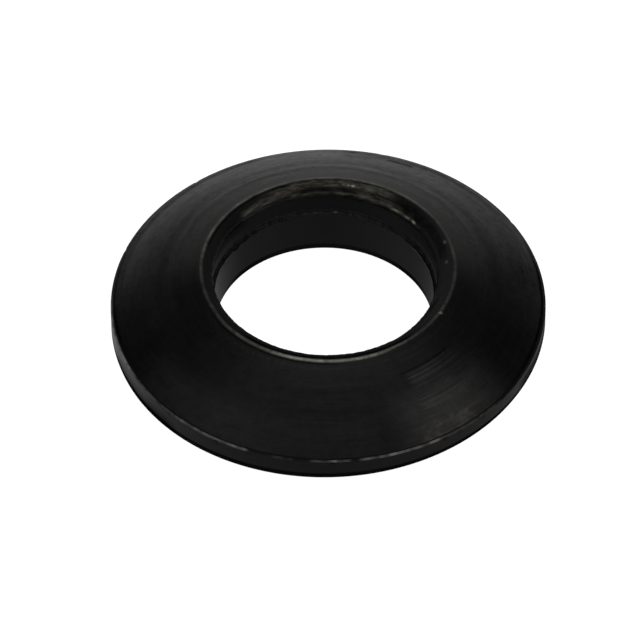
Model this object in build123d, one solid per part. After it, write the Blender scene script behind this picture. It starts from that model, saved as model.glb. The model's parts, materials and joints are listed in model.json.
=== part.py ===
from build123d import *
from math import asin, cos, radians, sin, sqrt
import os

# Spherical washer: one ring of turned steel, with a flat base, a straight rim and a convex
# spherical seat that tilts in a conical or hollow mate. The seat's inner edge rolls over a
# rounded mouth into the bore, whose upper stretch is torn slightly wide and whose lower
# stretch is a tighter, burnished land. The ring was held twice: the rim, the seat and the
# crest share one axis, and the bore and the base chamfer share another, a little to one side.
# Frame: +Z up, origin at the centre of the flat base, on the axis of the rim and the seat.

# Driving dimensions, in millimetres.
OUTER_DIAMETER = 24.0
OVERALL_HEIGHT = 4.7  # base to the crest, the highest ring, where the seat meets the mouth
SEAT_RADIUS = 20.0  # radius of the spherical face
CREST_DIAMETER = 13.9
CREST_ROUND = 0.3  # blends the spherical face into the level crest
RIM_EDGE_ROUND = 0.1  # edge break between the rim and the spherical face
BASE_CHAMFER = 0.75  # 45 degree chamfer round the base, at the rim's mean
MOUTH_DEPTH = 0.7  # height of the rounded mouth, from the crest down to the bore's wall
BORE_DIAMETER = 12.4  # upper stretch of the bore
LAND_DIAMETER = 12.05  # lower stretch, which guides the bolt
LAND_HEIGHT = 2.75  # base to the top of the land
LEDGE_RISE = 0.1  # height of the slope from the land out to the upper stretch
BORE_EDGE_BREAK = 0.12  # deburred edge where the bore leaves the base
AXIS_OFFSET = 0.22  # axis of the bore and base chamfer, from the rim's axis, towards -X

# Cross-sections that shape the mouth, and how far the cutters run past the faces they cut.
MOUTH_SECTIONS = 7
CUTTER_OVERRUN = 1.0


def seat_round(centre_radius, round_radius):
    """A round inside the spherical face, from the seat's centre: its centre's height, and the
    radius and height where it runs into the face."""
    centre_distance = SEAT_RADIUS - round_radius
    angle = asin(centre_radius / centre_distance)
    return centre_distance * cos(angle), SEAT_RADIUS * sin(angle), SEAT_RADIUS * cos(angle)


def turned_blank():
    """The button that the ring is cut from: base, rim, spherical face, crest and level top."""
    rim_radius = OUTER_DIAMETER / 2
    crest_radius = CREST_DIAMETER / 2
    crest_centre, seat_end_radius, seat_end = seat_round(crest_radius, CREST_ROUND)
    rim_centre, seat_start_radius, seat_start = seat_round(rim_radius - RIM_EDGE_ROUND, RIM_EDGE_ROUND)
    seat_centre_height = OVERALL_HEIGHT - CREST_ROUND - crest_centre
    rim_top = (rim_radius, seat_centre_height + rim_centre)
    seat_start_point = (seat_start_radius, seat_centre_height + seat_start)
    seat_end_point = (seat_end_radius, seat_centre_height + seat_end)
    crest = (crest_radius, OVERALL_HEIGHT)
    with BuildSketch(Plane.XZ) as section:
        with BuildLine():
            Polyline(crest, (0, OVERALL_HEIGHT), (0, 0), (rim_radius, 0), rim_top)
            RadiusArc(rim_top, seat_start_point, -RIM_EDGE_ROUND)
            RadiusArc(seat_start_point, seat_end_point, -SEAT_RADIUS)
            RadiusArc(seat_end_point, crest, -CREST_ROUND)
        make_face()
    return revolve(section.sketch, Axis.Z)


def second_axis_cutter(outline):
    """The closed outline, in radii and heights, turned about the axis of the second holding."""
    with BuildSketch(Plane.XZ) as section:
        with BuildLine():
            Polyline(*outline, close=True)
        make_face()
    return Pos(-AXIS_OFFSET, 0, 0) * revolve(section.sketch, Axis.Z)


def chamfer_cutter():
    """The base chamfer: it is wider where the rim stands furthest from the second axis."""
    rim_radius = OUTER_DIAMETER / 2
    outside = rim_radius + CUTTER_OVERRUN
    return second_axis_cutter(
        [
            (rim_radius - BASE_CHAMFER - CUTTER_OVERRUN, -CUTTER_OVERRUN),
            (outside, BASE_CHAMFER + CUTTER_OVERRUN),
            (outside, -CUTTER_OVERRUN),
        ]
    )


def bore_cutter():
    """The bore: its upper stretch, the ledge, the land and the deburred edge."""
    bore_radius = BORE_DIAMETER / 2
    land_radius = LAND_DIAMETER / 2
    mouth_floor = OVERALL_HEIGHT - MOUTH_DEPTH
    return second_axis_cutter(
        [
            (0, mouth_floor),
            (bore_radius, mouth_floor),
            (bore_radius, LAND_HEIGHT + LEDGE_RISE),
            (land_radius, LAND_HEIGHT),
            (land_radius, BORE_EDGE_BREAK),
            (land_radius + BORE_EDGE_BREAK + CUTTER_OVERRUN, -CUTTER_OVERRUN),
            (0, -CUTTER_OVERRUN),
        ]
    )


def mouth_cutter():
    """The rounded mouth: a quarter ellipse of circles, from the crest's to the bore's own. They
    move over to the second axis late, near the bore."""
    crest_radius = CREST_DIAMETER / 2
    bore_radius = BORE_DIAMETER / 2
    circles = []
    for index in range(MOUTH_SECTIONS):
        turn = radians(90 * index / (MOUTH_SECTIONS - 1))
        depth_share = 1 - cos(turn)
        radius = crest_radius + (bore_radius - crest_radius) * sin(turn)
        height = OVERALL_HEIGHT - MOUTH_DEPTH * depth_share
        circles.append(Pos(-AXIS_OFFSET * depth_share**2, 0, height) * Circle(radius))
    return loft(circles)


washer = turned_blank() - chamfer_cutter() - mouth_cutter() - bore_cutter()
washer.label = "spherical_washer"

os.makedirs("parts", exist_ok=True)
export_step(washer, "parts/spherical_washer.step")
print("solids:", len(washer.solids()), "volume mm3:", round(washer.volume, 2), "valid:", washer.is_valid)
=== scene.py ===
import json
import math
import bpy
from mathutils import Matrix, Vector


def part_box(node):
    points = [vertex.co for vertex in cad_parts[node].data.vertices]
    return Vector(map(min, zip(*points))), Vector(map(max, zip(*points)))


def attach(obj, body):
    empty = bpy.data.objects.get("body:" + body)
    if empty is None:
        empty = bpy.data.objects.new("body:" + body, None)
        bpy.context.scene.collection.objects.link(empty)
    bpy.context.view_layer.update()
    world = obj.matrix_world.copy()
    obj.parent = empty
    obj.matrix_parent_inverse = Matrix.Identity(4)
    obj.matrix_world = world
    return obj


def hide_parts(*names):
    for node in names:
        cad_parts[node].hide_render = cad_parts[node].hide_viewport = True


bl_info = {
    "name": "Blackened spherical washer",
    "version": (1, 0, 0),
    "blender": (4, 5, 0),
    "location": "View3D > Sidebar > Washer",
    "description": "Turns and blackens a spherical washer, and sets it on a stage",
    "category": "Object",
}

from collections import namedtuple

import bpy
from mathutils import Matrix, Vector, noise

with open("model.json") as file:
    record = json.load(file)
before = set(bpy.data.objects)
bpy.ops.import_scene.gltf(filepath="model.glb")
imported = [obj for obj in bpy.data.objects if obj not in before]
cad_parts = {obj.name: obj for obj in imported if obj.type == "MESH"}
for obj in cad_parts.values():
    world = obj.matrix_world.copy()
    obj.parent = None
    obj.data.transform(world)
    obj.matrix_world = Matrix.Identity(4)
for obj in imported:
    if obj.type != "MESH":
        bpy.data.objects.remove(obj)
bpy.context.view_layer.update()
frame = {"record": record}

# The frame: its one node, its box, and the bore's own axis.
CAD_NODE = "spherical_washer"
LOW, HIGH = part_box(CAD_NODE)
BORE_MOUNT = next(mount for mount in frame["record"]["mounts"] if mount["kind"] == "bore")
MM = 0.001

# How finely the ring is spun, how wide the small breaks of its edges are, and how close two
# points have to lie to be merged once the chain is closed and once it is spun.
SPIN_STEPS = 640
EDGE_BREAK = 0.04 * MM
SMOOTH_ANGLE = math.radians(38)
CHAIN_MERGE = 0.0001 * MM
SPIN_MERGE = 0.001 * MM

# Stations along each zone of the section, both ends counted.
STATIONS = {
    "base": 9,
    "chamfer": 5,
    "rim": 10,
    "edge": 5,
    "seat": 46,
    "crest": 7,
    "mouth": 25,
    "bore": 13,
    "ledge": 5,
    "land": 11,
}

# The stretch of the seat, from one radius to another, where the tool's rings need finer stations,
# how many they are, and the least gap to the coarse ones.
RINGED_SEAT = (9.5 * MM, 7.5 * MM)
RINGED_STATIONS = 29
RINGED_GAP = 0.05 * MM

# The shares of the edge's and the crest's rounds where their stations start and end: the edge
# starts past the rim's last station, and the crest ends before the mouth's first.
EDGE_START = 0.2
CREST_END = 0.86

# Lengths along the section, in millimetres, of the zones that carry burrs.
ZONE_LENGTH = {"mouth": 1.14, "crest": 0.11, "ledge": 0.2, "land": 2.63}

# One point of the turned section. lean: how far its circle has moved from the rim's axis to the
# bore's. follow: how far it follows the chamfer's upper edge, which rises where the rim stands
# further from the bore's axis. along: its place in its zone, 0 to 1. out: the way that faces out.
Station = namedtuple("Station", "radius height lean follow zone along out")


# ---------------- sizes and finishes


def number(label, about, default, **kind):
    """A number that a user may change."""
    return bpy.props.FloatProperty(name=label, description=about, default=default, **kind)


def length(label, about, default):
    """A length, in metres."""
    return number(label, about, default, subtype="DISTANCE", unit="LENGTH", precision=5)


def angle(label, about, degrees):
    """An angle, given here in degrees."""
    return number(label, about, math.radians(degrees), subtype="ANGLE", unit="ROTATION")


def share(label, about, default, most=1.0):
    """A share or a strength."""
    return number(label, about, default, subtype="FACTOR", min=0, max=most)


def colour(label, about, default):
    """A colour that a user may change."""
    return bpy.props.FloatVectorProperty(
        name=label, description=about, default=default, size=3, subtype="COLOR", min=0, max=1
    )


class WasherSizes(bpy.types.PropertyGroup):
    """Sizes of the turned ring."""

    outer_diameter: length("Outer diameter", "Across the rim", HIGH.x - LOW.x)
    height: length("Height", "Base to the crest", HIGH.z - LOW.z)
    seat_radius: length("Seat radius", "Radius of the spherical face", 20.0 * MM)
    crest_diameter: length("Crest diameter", "Across the highest ring", 13.9 * MM)
    crest_round: length("Crest round", "Blends the seat into the crest", 0.3 * MM)
    rim_round: length("Rim round", "Edge break between the rim and the seat", 0.1 * MM)
    base_chamfer: length("Base chamfer", "45 degree chamfer round the base", 0.75 * MM)
    mouth_depth: length("Mouth depth", "Crest down to the bore's wall", 0.7 * MM)
    bore_diameter: length("Bore diameter", "Upper, torn stretch of the bore", 12.4 * MM)
    land_diameter: length(
        "Land diameter", "Lower stretch of the bore", 2 * MM * BORE_MOUNT["dims"]["r_mm"]
    )
    land_height: length("Land height", "Base to the top of the land", 2.75 * MM)
    ledge_rise: length("Ledge rise", "Slope from the land out to the upper stretch", 0.1 * MM)
    bore_break: length(
        "Bore edge break", "Deburred edge where the bore leaves the base", 0.12 * MM
    )
    axis_offset: length(
        "Axis offset", "The bore's axis from the rim's, towards -X", -BORE_MOUNT["pos_m"][0]
    )


class WasherWear(bpy.types.PropertyGroup):
    """How rough and worn the surfaces are."""

    torn_depth: length("Torn depth", "How deep the mouth's surface is torn", 0.025 * MM)
    ledge_tooth: length("Ledge tooth", "How far the ledge's edge wanders", 0.09 * MM)
    nick_depth: length("Nick depth", "Depth of the rim's deepest nick", 0.05 * MM)
    groove_depth: length("Groove depth", "Depth of the fine turning marks", 0.009 * MM)
    oxide: colour("Oxide", "The blackened surface", (0.0012, 0.00115, 0.0013))
    thin_oxide: colour("Thin oxide", "Where the blackening is thin", (0.0036, 0.0034, 0.0037))
    steel: colour("Bare steel", "Where the blackening is rubbed off", (0.45, 0.435, 0.40))
    edge_wear: share("Edge wear", "How much of the edges is rubbed bare", 0.33)


class WasherStage(bpy.types.PropertyGroup):
    """The floor, the lights and the camera."""

    floor: colour("Floor", "The pale floor", (0.2, 0.2, 0.2))
    floor_glow: share("Floor glow", "Light that comes through the floor", 1.0, 4)
    surround: share("Surround", "Strength of the dim light all round", 0.14, 4)
    horizon: share("Horizon", "Strength of the pale backdrop round the horizon", 0.72, 4)
    softbox: share("Softboxes", "Brightness of the soft lights above", 2.3, 10)
    elevation: angle("Elevation", "How far the camera looks down", 46.086)
    roll: angle("Roll", "Turn of the camera about its own axis", 0.195)
    distance: length("Distance", "Camera to the washer's middle", 360.0 * MM)
    aim_right: length("Aim right", "The camera's aim, to the right of the base", -0.4546 * MM)
    aim_up: length("Aim up", "The camera's aim, above the base", 0.3799 * MM)
    lens: number(
        "Lens", "Focal length on a 36 mm sensor", 365.73, min=1, subtype="DISTANCE_CAMERA"
    )


# ---------------- section of the ring


def steps(first, last, count):
    """Evenly spaced numbers, both ends included."""
    return [first + (last - first) * index / (count - 1) for index in range(count)]


def ring_section(sizes):
    """The closed section of the ring, from the bore's lower edge out along the base and round."""
    rim = sizes.outer_diameter / 2
    crest = sizes.crest_diameter / 2
    bore = sizes.bore_diameter / 2
    land = sizes.land_diameter / 2
    top = sizes.height
    chamfer = sizes.base_chamfer
    seat = sizes.seat_radius
    crest_arm = seat - sizes.crest_round
    rim_arm = seat - sizes.rim_round
    rim_centre = rim - sizes.rim_round
    crest_lean = math.asin(crest / crest_arm)
    rim_lean = math.asin(rim_centre / rim_arm)
    seat_centre = top - sizes.crest_round - crest_arm * math.cos(crest_lean)
    rim_top = seat_centre + rim_arm * math.cos(rim_lean)
    crest_middle = top - sizes.crest_round
    mouth_floor = top - sizes.mouth_depth
    section = []

    def add(radius, height, lean, follow, zone, along, out):
        section.append(Station(radius, height, lean, follow, zone, along, out))

    add(land, sizes.bore_break, 1, 0, "break", 0, (-0.7, -0.7))
    inner = land + sizes.bore_break
    outer = rim - chamfer - EDGE_BREAK
    for along in steps(0, 1, STATIONS["base"]):
        add(inner + (outer - inner) * along, 0, 1, 0, "base", along, (0, -1))
    for along in steps(EDGE_BREAK / chamfer, 1 - EDGE_BREAK / chamfer, STATIONS["chamfer"]):
        radius = rim - chamfer + chamfer * along
        add(radius, chamfer * along, 1 - along, along, "chamfer", along, (0.7, -0.7))
    for along in steps(EDGE_BREAK / chamfer, 1, STATIONS["rim"]):
        height = chamfer + (rim_top - chamfer) * along
        add(rim, height, 0, 1 - along, "rim", along, (1, 0))
    for along in steps(EDGE_START, 1, STATIONS["edge"]):
        turn = (math.pi / 2 - rim_lean) * along
        reach = sizes.rim_round
        out = (math.cos(turn), math.sin(turn))
        add(rim_centre + reach * out[0], rim_top + reach * out[1], 0, 0, "edge", along, out)
    seat_start = seat * math.sin(rim_lean)
    seat_end = seat * math.sin(crest_lean)
    coarse = steps(seat_start, seat_end, STATIONS["seat"])[1:-1]
    fine = steps(*RINGED_SEAT, RINGED_STATIONS)
    radii = [r for r in coarse if not fine[-1] - RINGED_GAP < r < fine[0] + RINGED_GAP] + fine
    for radius in sorted(radii, reverse=True):
        along = (seat_start - radius) / (seat_start - seat_end)
        height = seat_centre + math.sqrt(seat**2 - radius**2)
        out = (radius / seat, (height - seat_centre) / seat)
        add(radius, height, 0, 0, "seat", along, out)
    for along in steps(0, CREST_END, STATIONS["crest"]):
        turn = crest_lean * (1 - along)
        out = (math.sin(turn), math.cos(turn))
        reach = sizes.crest_round
        add(crest + reach * out[0], crest_middle + reach * out[1], 0, 0, "crest", along, out)
    for along in steps(0, 1, STATIONS["mouth"]):
        turn = math.pi / 2 * along
        inward = math.sin(turn)
        radius = crest + (bore - crest) * inward
        sunk = 1 - math.cos(turn)
        height = top - sizes.mouth_depth * sunk
        out = Vector((-sizes.mouth_depth * inward, (crest - bore) * math.cos(turn))).normalized()
        add(radius, height, sunk**2, 0, "mouth", along, tuple(out))
    ledge_top = sizes.land_height + sizes.ledge_rise
    for along in steps(0, 1, STATIONS["bore"])[1:-1]:
        height = mouth_floor + (ledge_top - mouth_floor) * along
        add(bore, height, 1, 0, "bore", along, (-1, 0))
    for along in steps(0, 1, STATIONS["ledge"]):
        height = ledge_top - sizes.ledge_rise * along
        add(bore + (land - bore) * along, height, 1, 0, "ledge", along, (-0.6, 0.8))
    land_foot = sizes.bore_break + EDGE_BREAK
    for along in steps(0, 1, STATIONS["land"])[1:]:
        height = sizes.land_height + (land_foot - sizes.land_height) * along
        add(land, height, 1, 0, "land", along, (-1, 0))
    return section


# ---------------- modelling, as by hand


def deselect_all():
    """Nothing is selected in object mode."""
    if bpy.context.object is not None and bpy.context.object.mode != "OBJECT":
        bpy.ops.object.mode_set(mode="OBJECT")
    bpy.ops.object.select_all(action="DESELECT")


def draw_section(name, outline):
    """A chain of vertices along the outline, extruded from one vertex, and closed."""
    deselect_all()
    first = outline[0]
    bpy.ops.mesh.primitive_plane_add(size=EDGE_BREAK, location=(first.radius, 0, first.height))
    ring = bpy.context.object
    ring.name = name
    ring.data.name = name
    bpy.ops.object.transform_apply(location=True, rotation=True, scale=True)
    bpy.ops.object.mode_set(mode="EDIT")
    bpy.ops.mesh.select_all(action="SELECT")
    bpy.ops.mesh.merge(type="CENTER")
    bpy.ops.mesh.select_mode(type="VERT")
    for before, after in zip(outline, outline[1:] + outline[:1]):
        step = (after.radius - before.radius, 0, after.height - before.height)
        bpy.ops.mesh.extrude_region_move(TRANSFORM_OT_translate={"value": step})
    bpy.ops.mesh.select_all(action="SELECT")
    bpy.ops.mesh.remove_doubles(threshold=CHAIN_MERGE)
    bpy.ops.object.mode_set(mode="OBJECT")
    return ring


def section_run(outline):
    """Length along the section, in millimetres, from its first station to each."""
    run = [0.0]
    for before, after in zip(outline, outline[1:]):
        gap = math.hypot(after.radius - before.radius, after.height - before.height)
        run.append(run[-1] + gap / MM)
    return run


def number_stations(ring, outline):
    """Each vertex of the chain keeps the number of its station, which the spin then copies."""
    numbers = ring.data.attributes.new("station", "INT", "POINT")
    for vertex in ring.data.vertices:
        gaps = [(vertex.co.x - s.radius) ** 2 + (vertex.co.z - s.height) ** 2 for s in outline]
        numbers.data[vertex.index].value = gaps.index(min(gaps))


def spin_section(ring):
    """Spins the chain once round the rim's axis and closes the seam."""
    bpy.context.view_layer.objects.active = ring
    bpy.ops.object.mode_set(mode="EDIT")
    bpy.ops.mesh.select_all(action="SELECT")
    bpy.ops.mesh.spin(steps=SPIN_STEPS, angle=2 * math.pi, center=(0, 0, 0), axis=(0, 0, 1))
    bpy.ops.mesh.select_all(action="SELECT")
    bpy.ops.mesh.remove_doubles(threshold=SPIN_MERGE)
    bpy.ops.mesh.select_all(action="SELECT")
    bpy.ops.mesh.normals_make_consistent(inside=False)
    bpy.ops.object.mode_set(mode="OBJECT")


# ---------------- tool marks, tears and nicks


def fade(value, start, end):
    """0 at start and before it, 1 at end and past it, smooth between."""
    part = min(1, max(0, (value - start) / (end - start)))
    return part * part * (3 - 2 * part)


def rough(turn, radius, long, along=0, cross=MM, octaves=3, seed=0.0):
    """Seamless noise round the ring: its patches are long round it and cross wide."""
    reach = radius / long
    place = Vector((math.cos(turn) * reach, math.sin(turn) * reach, along / cross + seed))
    return noise.fractal(place, 1.0, 2.0, octaves)


# Rings that the tool left on the seat, in millimetres: radius, height and half width. A groove
# has a height below 0.
SEAT_RINGS = ((8.52, 0.008, 0.22), (9.04, -0.006, 0.22), (7.7, 0.0025, 0.22), (8.1, -0.002, 0.2))

# Nicks of the rim's upper edge: where they are, in degrees, how wide, and how deep as a share.
RIM_NICKS = (
    (197, 0.8, 0.35), (224, 1.1, 0.6), (239.6, 0.9, 0.8), (249, 1.3, 0.5), (259, 0.7, 0.3),
    (271, 1.1, 0.7), (274.5, 0.7, 0.5), (301.5, 1.2, 1.0), (306, 0.8, 0.6), (314, 0.9, 0.7),
    (321, 0.7, 0.4), (31, 1.0, 0.4), (75, 1.2, 0.2), (128, 0.9, 0.5), (160, 0.8, 0.4),
)

# Small bare burrs: zone, turn in degrees, place in the zone, half length round the ring and half
# width across it in millimetres, strength.
BARE_SPOTS = (
    ("mouth", 77.6, 0.34, 0.12, 0.06, 0.75),
    ("mouth", 79.9, 0.335, 0.12, 0.05, 0.4),
    ("mouth", 82.2, 0.33, 0.10, 0.05, 0.3),
    ("mouth", 69.5, 0.36, 0.30, 0.05, 0.2),
    ("mouth", 39.1, 0.79, 0.17, 0.06, 0.85),
    ("mouth", 44.0, 0.80, 0.22, 0.05, 0.4),
    ("mouth", 51.7, 0.80, 0.26, 0.05, 0.4),
    ("mouth", 17.0, 0.20, 0.13, 0.10, 0.17),
    ("mouth", 4.5, 0.38, 0.12, 0.09, 0.15),
    ("crest", 330.5, 0.50, 0.11, 0.11, 0.55),
    ("crest", 135.4, 0.60, 0.10, 0.08, 0.35),
    ("crest", 127.7, 0.60, 0.10, 0.08, 0.15),
    ("crest", 119.5, 0.60, 0.10, 0.08, 0.2),
    ("crest", 112.0, 0.60, 0.10, 0.08, 0.15),
    ("ledge", 84.0, 0.40, 0.12, 0.06, 0.35),
    ("ledge", 94.5, 0.40, 0.08, 0.05, 0.15),
    ("land", 105.0, 0.66, 0.07, 0.07, 0.25),
)

# A burr is whole up to the first of these, in half lengths from its middle, and gone at the
# second. Then how far it stands up, as a share of the torn depth.
BURR_REACH = (0.4, 1.3)
BURR_RISE = 0.35


def apart_round(degrees, centre):
    """Degrees between two turns, the short way round."""
    return abs((degrees - centre + 180) % 360 - 180)


def bare_amount(station, degrees):
    """How much of the listed burrs covers one place, 0 to 1."""
    most = 0
    for zone, centre, along, long, wide, strength in BARE_SPOTS:
        if zone == station.zone:
            gap = math.radians(apart_round(degrees, centre)) * station.radius / MM / long
            if gap < BURR_REACH[1]:
                across = (station.along - along) * ZONE_LENGTH[zone] / wide
                most = max(most, strength * (1 - fade(math.hypot(gap, across), *BURR_REACH)))
    return most


def edge_nick(degrees):
    """Depth of the nicks at one place of the rim's upper edge, as a share of the deepest."""
    depth = 0
    for centre, width, share_of_depth in RIM_NICKS:
        apart = apart_round(degrees, centre)
        if apart < 2 * width:
            depth = max(depth, share_of_depth * (1 - fade(apart, 0.3 * width, width)))
    return depth


# Where the ledge sags, in degrees: it comes in from the first turn to the second, and goes from
# the fourth to the third.
LEDGE_SAG = (95, 120, 172, 150)

# Shares of the torn depth: the mouth's long tears, its pits and how far it is sunk for both, the
# swell of its lip, and the bore's streaks and its undercut below the lip.
TEARS = 0.75
PITS = 0.5
TEAR_SINK = 0.25
LIP_SWELL = 0.3
STREAKS = 0.16
UNDERCUT = 0.5

# Shares of the nick depth: the seat beside a nick, and the small burrs along the rim's edge.
SEAT_NICK = 0.5
EDGE_BURR = 0.1

# How uneven the rim and the crest are, and how far each is sunk for it.
RIM_WAVE = 0.004 * MM
RIM_SINK = 0.001 * MM
CREST_WAVE = 0.004 * MM
CREST_SINK = 0.006 * MM

# The turning feed's waves on the seat: how far apart, how much they change round it, and how
# high. The seat is sunk so that its highest ring stays under the spherical face.
FEED_PITCH = 0.42 * MM
FEED_SWAY = 0.35
FEED_RISE = 0.0032 * MM
SEAT_SINK = 0.008 * MM


def ledge_wander(turn, sizes, wear):
    """How far the ledge lies above or below its drawn height: ragged, and low at its left."""
    radius = sizes.land_diameter / 2
    degrees = math.degrees(turn) % 360
    sag = fade(degrees, *LEDGE_SAG[:2]) * fade(degrees, *LEDGE_SAG[2:])
    broad = rough(turn, radius, long=1.4 * MM, octaves=2, seed=3.0)
    teeth = rough(turn, radius, long=0.34 * MM, seed=9.0)
    wander = (1.1 + 0.8 * sag) * broad + (0.8 + 1.2 * sag) * teeth - 1.5 * sag
    return wear.ledge_tooth * wander


def lip_wander(turn, sizes, wear):
    """How far the mouth's lower lip lies above or below its drawn height."""
    radius = sizes.bore_diameter / 2
    broad = rough(turn, radius, long=1.9 * MM, octaves=2, seed=21.0)
    teeth = rough(turn, radius, long=0.3 * MM, seed=27.0)
    return wear.torn_depth * (2.0 * broad + 3.0 * teeth)


def seat_wave(radius, cosine, sine):
    """Waves of the turning feed on the seat, and the rings that the tool left."""
    place = Vector((radius / FEED_PITCH, FEED_SWAY * cosine, FEED_SWAY * sine))
    push = FEED_RISE * (noise.noise(place) - 1)
    for centre, rise, width in SEAT_RINGS:
        push += rise * MM * math.exp(-(((radius / MM - centre) / width) ** 2))
    return push - SEAT_SINK


def mouth_push(turn, radius, along, torn_depth):
    """How far the torn mouth stands out of its drawn surface."""
    arc = along * ZONE_LENGTH["mouth"] * MM
    tears = rough(turn, radius, along=arc, long=0.75 * MM, cross=0.13 * MM, octaves=4, seed=5.0)
    pits = rough(turn, radius, along=arc, long=0.3 * MM, cross=0.12 * MM, seed=40.0)
    torn = (TEARS * tears + PITS * pits - TEAR_SINK) * fade(along, 0.03, 0.2)
    return torn_depth * (torn + LIP_SWELL * fade(along, 0.72, 0.95))


def bore_push(turn, radius, height, along, torn_depth):
    """How far the bore's upper stretch stands out of its drawn surface."""
    streaks = rough(
        turn, radius, along=height, long=0.22 * MM, cross=0.9 * MM, octaves=2, seed=60.0
    )
    return torn_depth * (STREAKS * streaks - UNDERCUT * (1 - fade(along, 0.05, 0.3)))


def worked_place(station, turn, sizes, wear, local):
    """Where a vertex lies once its surface is cut, torn and nicked."""
    radius, height, along = station.radius, station.height, station.along
    cosine, sine = math.cos(turn), math.sin(turn)
    nick = wear.nick_depth * local["nick"]
    rim = sizes.outer_diameter / 2
    rise = math.hypot(rim * cosine + sizes.axis_offset, rim * sine) - rim
    height += station.follow * rise
    push = 0
    if station.zone == "mouth":
        push = mouth_push(turn, radius, along, wear.torn_depth)
        height += local["lip"] * fade(along, 0.35, 1)
    elif station.zone == "bore":
        height += local["lip"] * (1 - fade(along, 0, 0.6)) + local["ledge"] * fade(along, 0.45, 1)
        push = bore_push(turn, radius, height, along, wear.torn_depth)
    elif station.zone == "ledge":
        height += local["ledge"]
    elif station.zone == "land":
        height += local["ledge"] * (1 - fade(along, 0, 0.35))
    elif station.zone == "seat":
        push = seat_wave(radius, cosine, sine)
        if along < 0.03:
            push -= SEAT_NICK * nick
    elif station.zone == "edge":
        push = -nick - EDGE_BURR * wear.nick_depth * abs(local["burr"])
    elif station.zone == "rim":
        wave = rough(
            turn, radius, along=height, long=2.5 * MM, cross=0.4 * MM, octaves=2, seed=80.0
        )
        push = -RIM_SINK - RIM_WAVE * abs(wave) - nick * fade(along, 0.86, 1)
    elif station.zone == "crest":
        wave = rough(turn, radius, long=0.8 * MM, octaves=2, seed=90.0)
        push = -CREST_SINK - CREST_WAVE * wave
    radius += push * station.out[0]
    height += push * station.out[1]
    return radius * cosine - sizes.axis_offset * station.lean, radius * sine, height


def work_surface(ring, outline, sizes, wear):
    """Moves every vertex to its place on the worked surface."""
    numbers = [item.value for item in ring.data.attributes["station"].data]
    run_of = section_run(outline)
    run = ring.data.attributes.new("run", "FLOAT", "POINT")
    bare = ring.data.attributes.new("bare", "FLOAT", "POINT")
    locals_round = {}
    for vertex in ring.data.vertices:
        station = outline[numbers[vertex.index]]
        turn = math.atan2(vertex.co.y, vertex.co.x)
        step = round(turn / (2 * math.pi) * SPIN_STEPS) % SPIN_STEPS
        turn = step * 2 * math.pi / SPIN_STEPS
        if step not in locals_round:
            locals_round[step] = {
                "lip": lip_wander(turn, sizes, wear),
                "ledge": ledge_wander(turn, sizes, wear),
                "nick": edge_nick(math.degrees(turn)),
                "burr": rough(turn, sizes.outer_diameter / 2, long=0.5 * MM, seed=70.0),
            }
        amount = bare_amount(station, math.degrees(turn))
        place = Vector(worked_place(station, turn, sizes, wear, locals_round[step]))
        if amount and station.zone != "crest":
            out, up = station.out
            way = Vector((out * math.cos(turn), out * math.sin(turn), up))
            place += BURR_RISE * wear.torn_depth * amount * way
        place.z = min(place.z, sizes.height)
        vertex.co = place
        run.data[vertex.index].value = run_of[numbers[vertex.index]]
        bare.data[vertex.index].value = amount
    ring.data.attributes.remove(ring.data.attributes["station"])
    ring.data.update()


# ---------------- shader maths


class Value:
    """A number that varies over a surface. Sums on it add Math nodes."""

    def __init__(self, bench, socket):
        self.bench = bench
        self.socket = socket

    def __add__(self, other):
        return self.bench.math("ADD", self, other)

    __radd__ = __add__

    def __sub__(self, other):
        return self.bench.math("SUBTRACT", self, other)

    def __rsub__(self, other):
        return self.bench.math("SUBTRACT", other, self)

    def __mul__(self, other):
        return self.bench.math("MULTIPLY", self, other)

    __rmul__ = __mul__

    def __truediv__(self, other):
        return self.bench.math("DIVIDE", self, other)

    def above(self, floor):
        """The larger of this and the floor."""
        return self.bench.math("MAXIMUM", self, floor)

    def fade(self, start, end):
        """0 at start, 1 at end, smooth between, and level past both."""
        sockets = {"Value": self, "From Min": start, "From Max": end}
        settings = {"interpolation_type": "SMOOTHSTEP"}
        return Value(self.bench, self.bench.node("MapRange", settings, sockets).outputs["Result"])

    def near(self, centre, reach):
        """1 at a centre, 0 at a reach away from it and beyond."""
        return self.bench.math("ABSOLUTE", self - centre).fade(reach, 0)

    def between(self, low, high, soft):
        """1 from low to high, 0 a soft width outside them."""
        return self.fade(low - soft, low) * self.fade(high + soft, high)


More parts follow.
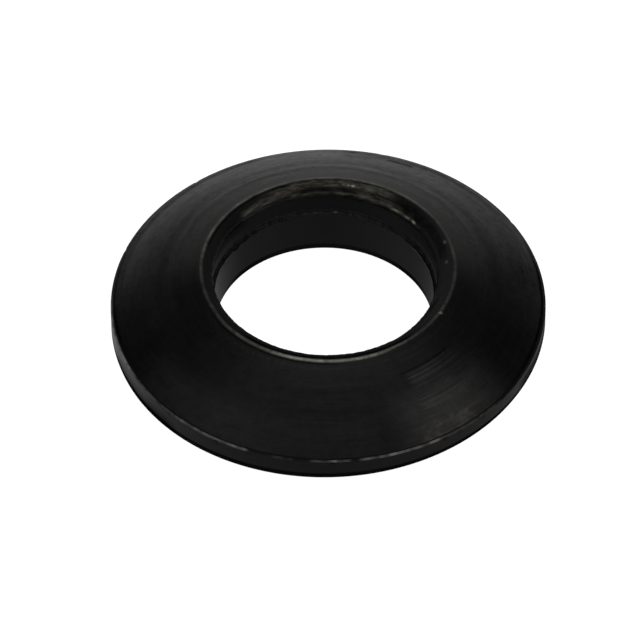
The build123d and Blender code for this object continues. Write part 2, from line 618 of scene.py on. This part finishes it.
class Bench:
    """The node tree of one finish and the few ways that nodes join it."""

    def __init__(self, name, tree=None):
        if tree is None:
            self.material = bpy.data.materials.new(name)
            self.material.use_nodes = True
            tree = self.material.node_tree
        self.tree = tree
        self.tree.nodes.clear()

    def node(self, kind, settings=None, sockets=None):
        """Adds a node: its settings come first, then the values or links of its sockets."""
        made = self.tree.nodes.new("ShaderNode" + kind)
        for key, value in (settings or {}).items():
            setattr(made, key, value)
        for key, value in (sockets or {}).items():
            source = value.socket if isinstance(value, Value) else value
            if isinstance(source, bpy.types.NodeSocket):
                self.tree.links.new(source, made.inputs[key])
            else:
                made.inputs[key].default_value = source
        return made

    def math(self, operation, *values):
        """Adds a Math node and returns its result."""
        sockets = dict(enumerate(values))
        return Value(self, self.node("Math", {"operation": operation}, sockets).outputs[0])

    def mix(self, factor, first, second):
        """Mixes two colours and returns the result's socket."""
        colours = [c if isinstance(c, bpy.types.NodeSocket) else (*c, 1) for c in (first, second)]
        sockets = {0: factor, 6: colours[0], 7: colours[1]}
        return self.node("Mix", {"data_type": "RGBA"}, sockets).outputs[2]

    def vector(self, x, y, z):
        """Three numbers as one vector."""
        return self.node("CombineXYZ", None, {0: x, 1: y, 2: z}).outputs[0]

    def noise(self, place, detail=2.0, roughness=0.5):
        """Noise at a place that is already scaled, about 0 to 1."""
        sockets = {"Vector": place, "Scale": 1.0, "Detail": detail, "Roughness": roughness}
        return Value(self, self.node("TexNoise", None, sockets).outputs[0])

    def attribute(self, name):
        """A number that the piece's own mesh carries."""
        settings = {"attribute_name": name, "attribute_type": "GEOMETRY"}
        return Value(self, self.node("Attribute", settings).outputs["Fac"])

    def place(self):
        """The point on the piece, in its own coordinates: x, y and z."""
        point = self.node("TexCoord").outputs["Object"]
        split = self.node("SeparateXYZ", None, {0: point}).outputs
        return [Value(self, socket) for socket in split]


# The crest's radius, in millimetres, at which the size of a slow change round the ring is given.
CREST_RADIUS = 6.95


class RingPlace:
    """A point of the ring in millimetres: height, distance from the axis and turn round it."""

    def __init__(self, bench):
        x, y, z = bench.place()
        self.bench = bench
        self.x = x * 1000
        self.y = y * 1000
        self.z = z * 1000
        self.radius = bench.math("SQRT", self.x * self.x + self.y * self.y)
        self.east = self.x / self.radius
        self.north = self.y / self.radius
        degrees = bench.math("ARCTAN2", self.y, self.x) * (180 / math.pi)
        self.turn = bench.math("WRAP", degrees, 360.0, 0.0)
        self.run = bench.attribute("run")
        self.bare = bench.attribute("bare")

    def towards(self, degrees):
        """1 at one turn round the ring, 0 a quarter turn away and beyond."""
        angle = math.radians(degrees)
        return (self.east * math.cos(angle) + self.north * math.sin(angle)).above(0)

    def arc(self, first, last, soft):
        """1 from one turn to another, 0 a soft width outside them."""
        return self.turn.between(first, last, soft)

    def grooves(self, across, pitch, round_scale=1.5, seed=0.0, detail=2.0):
        """Lines round the ring, a pitch apart, that change slowly along their length."""
        across = across / pitch + seed
        place = self.bench.vector(across, self.east * round_scale, self.north * round_scale)
        return self.bench.noise(place, detail, 0.6)

    def sway(self, size, seed=0.0, detail=2.0):
        """A slow change that depends only on the turn; size is in millimetres at the crest."""
        scale = CREST_RADIUS / size
        place = self.bench.vector(self.east * scale, self.north * scale, seed)
        return self.bench.noise(place, detail)

    def patches(self, size, seed=0.0, detail=2.0):
        """Patches of one size, alike in every direction."""
        place = self.bench.vector(self.x / size + seed, self.y / size, self.z / size)
        return self.bench.noise(place, detail, 0.55)

    def arcs(self, table):
        """The sum of listed arcs: first turn, last turn, soft width, strength."""
        return sum(self.arc(*arc) * strength for *arc, strength in table)

    def sectors(self, table):
        """The sum of listed sectors: an arc's three, the radii at 0 and at 1, strength."""
        return sum(
            self.arc(first, last, soft) * self.radius.fade(start, end) * strength
            for first, last, soft, start, end, strength in table
        )

    def lobes(self, table):
        """The sum of listed lobes: middle turn, cosines at 0 and at 1, radii likewise, strength."""
        return sum(
            self.towards(middle).fade(*cosines) * self.radius.fade(*radii) * strength
            for middle, cosines, radii, strength in table
        )

    def lines(self, table):
        """The sum of listed lines: an arc's three, the radius and its reach, strength."""
        return sum(
            self.arc(first, last, soft) * self.radius.near(centre, reach) * strength
            for first, last, soft, centre, reach, strength in table
        )


# Tones of the finishes beside the oxide's own two and bare steel; some of them paint light or
# shade, as said at each. Steel that is rubbed round the crest and the mouth is warmer and greener
# than on the rim.
OLIVE_STEEL = (0.43, 0.423, 0.365)
# Light warm grey for the mouth's wear and its painted glints.
WORN_AND_GLINTING_MOUTH = (0.19, 0.18, 0.145)
BRUISED_OXIDE = (0.085, 0.074, 0.064)
# Grey for the seat's painted sheen, and for its specks, line and dust.
SHEEN_AND_DUST_GREY = (0.019, 0.0185, 0.018)
# Grey for the painted highlight of the seat's fan.
FAN_HIGHLIGHT = (0.03, 0.0293, 0.0275)
MOUTH_OXIDE = (0.03, 0.03, 0.032)
# Grey for painted light in the bore.
BORE_PAINTED_LIGHT = (0.03, 0.029, 0.029)
# Dead black for grime and for painted shade.
SOOT_AND_SHADE_BLACK = (0.0015, 0.0015, 0.0017)

# How strongly each surface shines, as its coat's refractive index, and the depth of fine relief.
SEAT_IOR = 1.19
RIM_IOR = 1.14
MOUTH_IOR = 1.16
BORE_IOR = 1.12
MOUTH_RELIEF = 0.01 * MM
BORE_RELIEF = 0.004 * MM

# Arcs: first turn, last turn and soft width in degrees, then strength.
CREST_RUBS = ((50, 165, 20, 0.15), (226, 300, 14, 0.1), (249, 290, 12, 0.25))
RIM_RUBS = (
    (182, 203, 6, 0.95),
    (203, 226, 5, 0.35),
    (227, 247.5, 1.5, 0.75),
    (244.5, 247.2, 1, 0.4),
    (256, 260, 1.5, 0.2),
    (266, 275, 1.5, 0.45),
    (271.4, 271.4, 1.2, 0.8),
    (280, 299, 3, 0.85),
    (287, 287, 1.5, 0.7),
    (300, 318, 4, 0.3),
)
MOUTH_MIDDLE = ((60, 150, 16, 0.08), (113, 150, 7, 0.14))
# The mouth's worn ridge and flank: their strengths paint glints as well as wear.
MOUTH_RIDGE = ((36, 54, 3, 0.1), (54, 84, 8, 0.28), (84, 135, 8, 0.2))
MOUTH_FLANK = ((108, 134, 6, 0.24), (46, 72, 8, 0.16))
# Painted shade on the bore's upper sides and along the land's top edge.
BORE_SHOULDER = ((140, 172, 10, 0.25), (8, 36, 10, 0.08))
LAND_EDGE = ((4, 34, 6, 0.3), (140, 164, 6, 0.3))

# Sectors of the seat, painted sheen in the first table and painted shade in the second: an arc's
# three values, the radii in millimetres where the sector is at 0 and at 1, then strength.
SEAT_PAINTED_SHEEN = ((215, 278, 12, 9.4, 11, 0.4), (299, 317, 14, 8.9, 10.4, 0.85))
# Painted shade: darker sectors of the seat, mostly by the rim.
SEAT_SHADE = (
    (8, 78, 14, 9.8, 10.8, 0.2),
    (112, 172, 10, 11.2, 11.5, 0.28),
    (38, 60, 8, 11.2, 11.5, 0.1),
)

# Lobes of painted shade on the seat's sides: middle turn, cosines off it where the lobe is at 0
# and at 1, radii likewise, then strength.
SEAT_LOBES = (
    (345, (0.8, 1), (7.8, 11), 0.3),
    (197, (0.9, 1), (9.6, 11.6), 0.45),
    (355, (0.85, 0.97), (11.65, 11.8), 0.55),
    (178, (0.9, 0.98), (11.65, 11.8), 0.35),
)

# Smudges and dark lines round the seat, the fourth a painted shadow along the crest's front: an
# arc's three values, the radius of the line's middle and its reach to each side in millimetres,
# then strength.
SEAT_SMUDGES_AND_SHADOW = (
    (68.5, 71.5, 1, 10.86, 0.3, 0.4),
    (64.5, 67.5, 1, 10.86, 0.3, 0.4),
    (83, 83, 2, 11.5, 0.2, 0.4),
    (215, 268, 12, 7.22, 0.1, 0.6),
    (299, 318, 3, 8.45, 0.09, 0.5),
)

# The scratch across the rim: its turn in degrees, and how far it drops for each degree.
SCRATCH_TURN = 239.9
SCRATCH_DROP = 0.3


def finish_shader(bench, base, roughness, metallic, height, depth, ior, soot_and_shade):
    """The blackened steel's shader, its relief, and a dead black where the mask is: grime, and
    painted shade.
    """
    bump = bench.node("Bump", None, {"Strength": 1.0, "Distance": depth, "Height": height})
    sockets = {
        "Base Color": base,
        "Roughness": roughness,
        "Metallic": metallic,
        "IOR": ior,
        "Normal": bump.outputs[0],
    }
    surface = bench.node("BsdfPrincipled", None, sockets).outputs[0]
    # A dead black: grime where the mask is grain or smudges, painted shade where it follows the
    # light.
    dead = bench.node("BsdfDiffuse", None, {"Color": (*SOOT_AND_SHADE_BLACK, 1)}).outputs[0]
    sooted = bench.node("MixShader", None, {0: soot_and_shade, 1: surface, 2: dead}).outputs[0]
    bench.node("OutputMaterial", None, {"Surface": sooted})
    return bench.material


def crest_rub(ring, marks):
    """The crest's rubbed line: soft and uneven, barest at the front, where it lies further out."""
    middle = marks["mouth"][0] - 0.03 - ring.arc(218, 290, 14) * 0.07
    strength = ring.arcs(CREST_RUBS) + 0.1
    coarse = ring.patches(size=0.8, seed=30.0).fade(0.3, 0.7)
    fine = ring.patches(size=0.22, seed=33.0).fade(0.3, 0.7)
    return (ring.run - middle).near(0, 0.155) * strength * (coarse * 0.45 + fine * 0.35 + 0.3)


def seat_sheen_and_dust(ring):
    """Where the seat is greyer: painted sheen in sectors and towards its back by the crest; small
    specks, a line and dust by the crest.
    """
    radius = ring.radius
    # Painted sheen: greyer sectors, and greyer towards the back near the crest.
    glow = ring.sectors(SEAT_PAINTED_SHEEN) + ring.north.fade(-0.2, 0.3) * radius.fade(9.2, 8.2) * 0.85
    specks = ring.patches(size=0.13, seed=9.0, detail=1.0).fade(0.68, 0.74)
    broken = ring.patches(size=0.3, seed=77.0).fade(0.4, 0.6)
    line = ring.arc(224, 302, 5) * radius.near(7.48, 0.1) * broken
    dust = ring.arc(205, 262, 14) * radius.between(7.1, 7.7, 0.4)
    dust += ring.arc(296, 345, 12) * radius.between(7.1, 7.5, 0.3)
    dust *= ring.patches(size=0.17, seed=57.0).fade(0.56, 0.72)
    return glow + specks * 0.12 + line * 0.25 + dust * 0.3


def seat_grain_and_shade(ring):
    """Dark mask on the seat: its grain, smudges and dark lines, and painted shade on its sides, at
    its back by the rim and along the crest's front.
    """
    radius = ring.radius
    strokes = ring.grooves(radius, pitch=0.13, round_scale=5.0, seed=41.0)
    blots = ring.patches(size=0.45, seed=43.0)
    speckle = ring.patches(size=0.17, seed=49.0)
    grain = (strokes - 0.5) * 0.5 + (blots - 0.5) * 0.5 + (speckle - 0.5) * 0.25 + 0.13
    grain *= radius.fade(7.4, 8.2) * 0.6 + 0.4
    # Painted shade on the seat's sides, the dark fans of the turned face.
    sides = ring.lobes(SEAT_LOBES) + ring.sectors(SEAT_SHADE) + ring.arc(318, 344, 8) * 0.06
    # Painted shade at the seat's back, strongest by the rim.
    back = radius.between(11.25, 11.55, 0.15) * 0.2 + radius.fade(10.2, 10.8) * 0.06
    return grain + sides + ring.north.fade(0.2, 0.9) * back + ring.lines(SEAT_SMUDGES_AND_SHADOW)


def seat_finish(wear, marks):
    """The spherical face and the crest: turning marks, a fan of bright arcs painted as a highlight,
    painted sheen and shade, a rubbed crest.
    """
    bench = Bench("turned_seat")
    ring = RingPlace(bench)
    radius = ring.radius
    fine = ring.grooves(radius, pitch=0.11, round_scale=2.5, seed=2.0)
    middle = ring.grooves(radius, pitch=0.24, round_scale=1.6, seed=7.0)
    broad = ring.grooves(radius, pitch=0.7, round_scale=0.6, seed=13.0, detail=0.0)
    cloud = ring.patches(size=1.6, seed=4.0, detail=3.0)
    thin = cloud.fade(0.35, 0.75) * 0.4 + middle.fade(0.4, 0.8) * 0.3 + fine.fade(0.45, 0.7) * 0.3
    base = bench.mix(thin, wear.oxide, wear.thin_oxide)
    # Painted sheen, with specks, a line and dust.
    base = bench.mix(seat_sheen_and_dust(ring), base, SHEEN_AND_DUST_GREY)

    # A painted highlight: the fan of bright arcs that the turned face throws, put into its colour.
    arcs = ring.grooves(radius, pitch=0.1, round_scale=0.9, seed=31.0, detail=1.0)
    started = (ring.turn + arcs * 4).fade(300.5, 303.5)
    fan = started * ring.turn.fade(330, 304) * radius.fade(7.2, 7.8)
    bright = radius.fade(8.48, 8.62) * 0.55 + radius.between(8.62, 8.82, 0.07) * 0.25
    bright += radius.fade(9.5, 10.0) * 0.3 + radius.near(11.7, 0.14) * 0.4 + 0.2
    base = bench.mix(fan * bright * (arcs.fade(0.45, 0.68) * 0.8 + 0.2), base, FAN_HIGHLIGHT)

    bruised = ring.arc(298, 311, 3) * radius.between(11.25, 11.85, 0.2)
    dashes = ring.grooves(radius, pitch=0.17, round_scale=13.0, seed=91.0, detail=1.0)
    blotches = ring.patches(size=0.5, seed=95.0).fade(0.38, 0.78)
    bruise = bruised * (blotches * 0.5 + dashes.fade(0.3, 0.8) * 0.1)
    base = bench.mix(bruise, base, BRUISED_OXIDE)

    bare = crest_rub(ring, marks) + ring.bare * 0.6
    base = bench.mix(bare, base, OLIVE_STEEL)
    roughness = 0.34 + middle * 0.06 + cloud * 0.05 - bare * 0.05
    height = fine * 0.5 + middle * 0.6 + broad * 0.9 + arcs * fan * 1.2
    # Dead black mask: grain, smudges, bruise dashes and painted shade.
    soot_and_shade = (seat_grain_and_shade(ring) + bruised * dashes.fade(0.55, 0.3) * 0.1).above(0)
    relief = wear.groove_depth
    return finish_shader(bench, base, roughness, bare, height, relief, SEAT_IOR, soot_and_shade)


def rim_finish(wear, marks):
    """The rim, its chamfer and the base: turned, duller, with its upper edge rubbed, painted shade
    on its sides and front, and a painted dark line along its lower edge.
    """
    bench = Bench("turned_rim")
    ring = RingPlace(bench)
    run = ring.run
    lower_edge = marks["rim"][0]
    start, end = marks["edge"]
    side = run.fade(lower_edge - 0.6, lower_edge - 0.1)
    lines = ring.grooves(run, pitch=0.1, round_scale=1.6, seed=3.0)
    faced = ring.grooves(run, pitch=0.3, round_scale=1.2, seed=61.0) * (1 - side)
    cloud = ring.patches(size=1.1, seed=14.0, detail=3.0)
    thin = cloud.fade(0.35, 0.7) * 0.5 + lines.fade(0.45, 0.8) * 0.4
    thin += faced.fade(0.35, 0.65) * 0.8
    base = bench.mix(thin, wear.oxide, wear.thin_oxide)

    broken = ring.patches(size=0.5, seed=50.0, detail=3.0).fade(0.3, 0.62) * 0.65 + 0.35
    rubbed = (ring.arcs(RIM_RUBS) * 0.8 + 0.05) * broken
    bare = run.between(start + 0.01, end + 0.04, 0.04) * rubbed * wear.edge_wear
    base = bench.mix(bare, base, wear.steel)
    roughness = 0.40 + lines * 0.08
    height = lines + cloud * 0.5 + faced * 1.5

    fallen = run + ring.turn * SCRATCH_DROP
    scratch_height = end - 0.3 + SCRATCH_TURN * SCRATCH_DROP
    scratch = ring.turn.near(SCRATCH_TURN, 0.5) * fallen.near(scratch_height, 0.05)
    # Painted shade on the rim's right, left and front.
    shade = ring.towards(338).fade(0.6, 1) * 0.3
    shade += ring.arc(334, 356, 6) * run.fade(end, end - 0.6) * 0.5
    shade += ring.arc(198, 222, 6) * run.fade(end - 0.2, lower_edge) * 0.8
    shade += ring.arc(222, 290, 12) * 0.15
    # A painted dark line along the rim's lower edge, where shade falls.
    soot_and_shade = run.between(lower_edge - 0.2, lower_edge + 0.2, 0.1) * 0.75
    soot_and_shade += scratch * 0.8 + shade * side + (cloud - 0.5) * 0.25
    soot_and_shade += (1 - side) * 0.2 - faced.fade(0.45, 0.65) * 0.2
    soot_and_shade = soot_and_shade.above(0)
    relief = wear.groove_depth
    return finish_shader(bench, base, roughness, bare, height, relief, RIM_IOR, soot_and_shade)


def mouth_wear_and_glints(ring, above, strokes):
    """Where the mouth is lighter and warm, worn and with painted glints: a ridge over its lip, a
    flank above it and the shoulder.
    """
    dashes = ring.grooves(ring.run, pitch=0.14, round_scale=11.0, seed=63.0, detail=1.0)
    sway = ring.sway(1.1, seed=6.0) - 0.5
    past_ridge = above - (ring.arcs(MOUTH_MIDDLE) + sway * 0.22 + 0.19)
    ridge = past_ridge.near(0, 0.13) * ring.arcs(MOUTH_RIDGE)
    flank = (past_ridge - 0.08).near(0, 0.32) * ring.arcs(MOUTH_FLANK)
    shoulder = above.between(0.66, 0.96, 0.12) * ring.arc(64, 112, 12)
    warm = ridge * (strokes.fade(0.36, 0.66) * 0.7 + 0.3)
    warm += flank * (strokes.fade(0.3, 0.62) * 0.8 + 0.2)
    warm += shoulder * (dashes.fade(0.4, 0.66) * 0.18 + 0.07)
    return warm + ring.arc(52, 128, 14) * strokes.fade(0.4, 0.7) * 0.05


def mouth_soot_and_shade(ring, inside, above, strokes):
    """Dark mask in the mouth, by the depth inside it and the height above its lip: painted shadow
    along the lip and inside the crest's front, painted shade on its sides, a dark band under the
    crest, and an uneven mottle.
    """
    mottle = ring.patches(size=0.5, seed=17.0, detail=3.0)
    back = ring.arc(40, 136, 6)
    front = 1 - back
    # Painted shadow along the lip, and painted shade low on the left.
    soot_and_shade = above.fade(0.14, 0.04) * back * 0.6 + above.fade(0.3, 0.06) * front * 0.45
    soot_and_shade += above.fade(0.6, 0.3) * ring.arc(142, 178, 8) * 0.4
    soot_and_shade += above.fade(0.1, 0.03) * front * 0.2
    # Painted shade inside the crest's front.
    soot_and_shade += inside.fade(0.3, 0.08) * inside.fade(0, 0.05) * ring.arc(232, 306, 8) * 0.9
    under_crest = ring.arc(112, 162, 8) + ring.arc(60, 112, 8) * strokes.fade(0.6, 0.4)
    soot_and_shade += inside.between(0.1, 0.2, 0.05) * under_crest * 0.6
    # Painted shade deep in the mouth's front sides and on its right.
    front_sides = ring.arc(202, 236, 8) + ring.arc(306, 336, 8)
    soot_and_shade += inside.between(0.6, 0.85, 0.12) * front_sides * 0.6
    right = ring.arc(14, 48, 10) * (mottle.fade(0.2, 0.75) * 0.4 + 0.28)
    soot_and_shade += inside.between(0.35, 0.7, 0.15) * right
    return soot_and_shade + (mottle - 0.5) * 0.4


def mouth_finish(wear, marks):
    """The mouth: torn metal, with a rubbed ridge above its lower lip that also carries painted
    glints, and a jagged edge below it with painted shadow.
    """
    bench = Bench("torn_mouth")
    ring = RingPlace(bench)
    start, end = marks["mouth"]
    inside = ring.run - start
    above = end - ring.run
    grain = ring.patches(size=0.13, seed=47.0)
    strokes = ring.grooves(ring.run, pitch=0.13, round_scale=8.0, seed=5.0)
    base = bench.mix(grain, wear.oxide, wear.thin_oxide)
    sides = ring.towards(355).fade(0.6, 0.95) * 0.28 + ring.towards(185).fade(0.7, 0.95) * 0.1
    base = bench.mix(sides, base, MOUTH_OXIDE)
    # Worn warm bands with painted glints.
    base = bench.mix(mouth_wear_and_glints(ring, above, strokes), base, WORN_AND_GLINTING_MOUTH)
    bare = crest_rub(ring, marks) + ring.bare * 0.8
    base = bench.mix(bare, base, OLIVE_STEEL)
    roughness = 0.45 + grain * 0.2
    soot_and_shade = mouth_soot_and_shade(ring, inside, above, strokes).above(0)
    height = grain + strokes
    return finish_shader(bench, base, roughness, bare, height, MOUTH_RELIEF, MOUTH_IOR, soot_and_shade)


def bore_painted_light(ring, start, end):
    """Painted light in the bore, in uneven patches: on its torn sides, and on the ledge's corner
    and slope.
    """
    uneven = ring.patches(size=0.3, seed=71.0).fade(0.35, 0.65)
    sides = 1 - ring.towards(90).fade(0.3, 0.7)
    torn = ring.run.between(start - 0.5, start - 0.1, 0.15) * sides * uneven * 0.25
    corner = ring.run.between(start - 0.12, start + 0.04, 0.14) * (uneven * 0.35 + 0.25)
    sloped = ring.run.between(start + 0.08, end - 0.03, 0.04) * (uneven * 0.3 + 0.15)
    return sloped + torn + corner


def bore_painted_shade(ring, marks, lower):
    """Painted shade in the bore: off its back, under the mouth's lip, at the land's edge and its
    foot.
    """
    lip = marks["mouth"][1]
    land_top = marks["ledge"][1]
    foot = marks["land"][1]
    off_back = (1 - ring.towards(90).fade(0.6, 0.98)) * 0.42 + ring.towards(5).fade(0.75, 1) * 0.25
    soot_and_shade = off_back * (1 - lower * 0.5) + ring.run.fade(lip + 0.12, lip + 0.05) * 0.7
    soot_and_shade += ring.run.fade(lip + 0.8, lip + 0.3) * ring.arcs(BORE_SHOULDER)
    soot_and_shade += ring.run.near(land_top - 0.03, 0.11) * ring.arcs(LAND_EDGE)
    return soot_and_shade + ring.run.fade(foot - 0.36, foot - 0.26) * ring.towards(90).fade(0.2, 0.8) * 0.6


def bore_finish(wear, marks):
    """The bore: a dull torn stretch above the ledge and a burnished land below it, with painted
    light and painted shade.
    """
    bench = Bench("bored_wall")
    ring = RingPlace(bench)
    start, end = marks["ledge"]
    mottle = ring.patches(size=0.35, seed=23.0, detail=3.0)
    rings = ring.grooves(ring.run, pitch=0.1, round_scale=2.0, seed=8.0)
    land = ring.run.fade(start, end)
    # Painted light on the wall just above the ledge; it also thins the painted shade there.
    lower = ring.run.between(start - 0.3, start, 0.25)
    thin = mottle.fade(0.3, 0.7) * 0.4 + land * 0.2 + lower * 0.4
    base = bench.mix(thin, wear.oxide, wear.thin_oxide)
    base = bench.mix(bore_painted_light(ring, start, end), base, BORE_PAINTED_LIGHT)
    bare = ring.bare * 0.35 + ring.run.near(end + 0.09, 0.09) * ring.arc(2, 34, 6) * 0.12
    base = bench.mix(bare, base, wear.steel)
    roughness = 0.5 - land * 0.12 + mottle * 0.05
    soot_and_shade = bore_painted_shade(ring, marks, lower)
    height = rings + mottle
    return finish_shader(bench, base, roughness, bare, height, BORE_RELIEF, BORE_IOR, soot_and_shade)


# Each finish and the zones of the section that it covers.
FINISHES = {
    seat_finish: ("seat", "crest"),
    rim_finish: ("break", "base", "chamfer", "rim", "edge"),
    mouth_finish: ("mouth",),
    bore_finish: ("bore", "ledge", "land"),
}


def dress_ring(ring, outline, wear):
    """Gives the ring its finishes, each zone its own."""
    run = section_run(outline)
    marks = {}
    for station, place in zip(outline, run):
        first, last = marks.get(station.zone, (place, place))
        marks[station.zone] = (min(first, place), max(last, place))
    slot_of = {}
    for slot, (finish, zones) in enumerate(FINISHES.items()):
        ring.data.materials.append(finish(wear, marks))
        slot_of.update({zone: slot for zone in zones})
    numbers = [item.value for item in ring.data.attributes["station"].data]
    for face in ring.data.polygons:
        found = sorted({numbers[index] for index in face.vertices})
        first = found[-1] if found[-1] - found[0] > 1 else found[0]
        face.material_index = slot_of[outline[first].zone]


# ---------------- operators


class WASHER_OT_turn_ring(bpy.types.Operator):
    """Turn the ring from its section, work its surfaces and blacken it"""

    bl_idname = "washer.turn_ring"
    bl_label = "Turn the ring"

    def execute(self, context):
        sizes = context.scene.washer_sizes
        wear = context.scene.washer_wear
        outline = ring_section(sizes)
        ring = draw_section("washer_ring", outline)
        number_stations(ring, outline)
        spin_section(ring)
        if len(ring.data.vertices) != SPIN_STEPS * len(outline):
            raise RuntimeError(f"the spin left {len(ring.data.vertices)} vertices")
        dress_ring(ring, outline, wear)
        work_surface(ring, outline, sizes, wear)
        bpy.ops.object.shade_smooth_by_angle(angle=SMOOTH_ANGLE)
        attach(ring, "root")
        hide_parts(CAD_NODE)
        return {"FINISHED"}


# The floor's radius in metres, and how far it lies under the base, so that the two faces never
# share one plane.
FLOOR_RADIUS = 2.0
FLOOR_GAP = 0.01 * MM

# The soft lights: name, direction from the washer, size in metres and share of the brightness.
SOFTBOX_DISTANCE = 0.6
SOFTBOXES = (
    ("softbox_above", (0.0, 0.08, 1.0), 0.45, 1.0),
    ("softbox_right", (0.55, -0.2, 0.82), 0.26, 1.3),
    ("softbox_left", (-0.5, -0.2, 0.84), 0.26, 0.9),
)

# How far up the pale backdrop reaches, as the height of a direction of length 1.
BACKDROP_TOP = 0.42


def add_floor(stage):
    """A plain pale floor that lets some light through."""
    deselect_all()
    bpy.ops.mesh.primitive_circle_add(
        vertices=96, radius=FLOOR_RADIUS, fill_type="NGON", location=(0, 0, -FLOOR_GAP)
    )
    floor = bpy.context.object
    floor.name = "floor"
    bench = Bench("pale_floor")
    sockets = {
        "Base Color": (*stage.floor, 1),
        "Roughness": 0.9,
        "Specular IOR Level": 0.0,
        "Emission Color": (1, 1, 1, 1),
        "Emission Strength": stage.floor_glow,
    }
    shader = bench.node("BsdfPrincipled", None, sockets)
    bench.node("OutputMaterial", None, {"Surface": shader.outputs[0]})
    floor.data.materials.append(bench.material)


def add_softbox(name, direction, size, brightness):
    """A round soft light, SOFTBOX_DISTANCE away, that faces the washer."""
    deselect_all()
    place = Vector(direction).normalized() * SOFTBOX_DISTANCE
    facing = place.to_track_quat("Z", "Y").to_euler()
    bpy.ops.object.light_add(type="AREA", location=place, rotation=facing)
    light = bpy.context.object
    light.name = name
    light.data.shape = "DISK"
    light.data.size = size
    light.data.energy = brightness * math.pi * math.pi * (size / 2) ** 2


def add_surround(stage):
    """A dim world with a pale backdrop round its horizon."""
    world = bpy.data.worlds.new("surround")
    world.use_nodes = True
    bench = Bench("surround", world.node_tree)
    split = bench.node("SeparateXYZ", None, {0: bench.node("TexCoord").outputs["Generated"]})
    height = Value(bench, split.outputs[2])
    strength = height.fade(BACKDROP_TOP, 0.0) * stage.horizon + stage.surround
    sky = bench.node("Background", None, {"Color": (1, 1, 1, 1), "Strength": strength})
    bench.node("OutputWorld", None, {"Surface": sky.outputs[0]})
    bpy.context.scene.world = world


def add_camera(stage):
    """The camera: it looks down at the washer from the front."""
    pitch, roll = stage.elevation, stage.roll
    level = Vector((1, 0, 0))
    upright = Vector((0, math.sin(pitch), math.cos(pitch)))
    back = Vector((0, -math.cos(pitch), math.sin(pitch)))
    right = level * math.cos(roll) - upright * math.sin(roll)
    up = level * math.sin(roll) + upright * math.cos(roll)
    place = right * stage.aim_right + up * stage.aim_up + back * stage.distance
    facing = Matrix((right, up, back)).transposed().to_euler()
    deselect_all()
    bpy.ops.object.camera_add(location=place, rotation=facing)
    camera = bpy.context.object
    camera.name = "camera"
    camera.data.sensor_width = 36
    camera.data.lens = stage.lens
    camera.data.clip_start = 0.01
    bpy.context.scene.camera = camera


class WASHER_OT_set_stage(bpy.types.Operator):
    """Add the pale floor, the soft studio light and the camera"""

    bl_idname = "washer.set_stage"
    bl_label = "Set the stage"

    def execute(self, context):
        stage = context.scene.washer_stage
        add_floor(stage)
        for name, direction, size, share_of_light in SOFTBOXES:
            add_softbox(name, direction, size, share_of_light * stage.softbox)
        add_surround(stage)
        context.scene.view_settings.view_transform = "Standard"
        add_camera(stage)
        return {"FINISHED"}


class VIEW3D_PT_washer(bpy.types.Panel):
    """The washer's sizes, finish and stage"""

    bl_label = "Spherical washer"
    bl_space_type = "VIEW_3D"
    bl_region_type = "UI"
    bl_category = "Washer"

    def draw(self, context):
        for group, operator in (
            (context.scene.washer_sizes, None),
            (context.scene.washer_wear, WASHER_OT_turn_ring.bl_idname),
            (context.scene.washer_stage, WASHER_OT_set_stage.bl_idname),
        ):
            column = self.layout.column(align=True)
            for name in group.__annotations__:
                column.prop(group, name)
            if operator is not None:
                self.layout.operator(operator)


CLASSES = (
    WasherSizes,
    WasherWear,
    WasherStage,
    WASHER_OT_turn_ring,
    WASHER_OT_set_stage,
    VIEW3D_PT_washer,
)


def register():
    for item in CLASSES:
        bpy.utils.register_class(item)
    bpy.types.Scene.washer_sizes = bpy.props.PointerProperty(type=WasherSizes)
    bpy.types.Scene.washer_wear = bpy.props.PointerProperty(type=WasherWear)
    bpy.types.Scene.washer_stage = bpy.props.PointerProperty(type=WasherStage)


def unregister():
    del bpy.types.Scene.washer_stage
    del bpy.types.Scene.washer_wear
    del bpy.types.Scene.washer_sizes
    for item in reversed(CLASSES):
        bpy.utils.unregister_class(item)


def main():
    """Builds the washer and its stage."""
    register()
    bpy.ops.washer.turn_ring()
    bpy.ops.washer.set_stage()


if __name__ == "__main__":
    main()
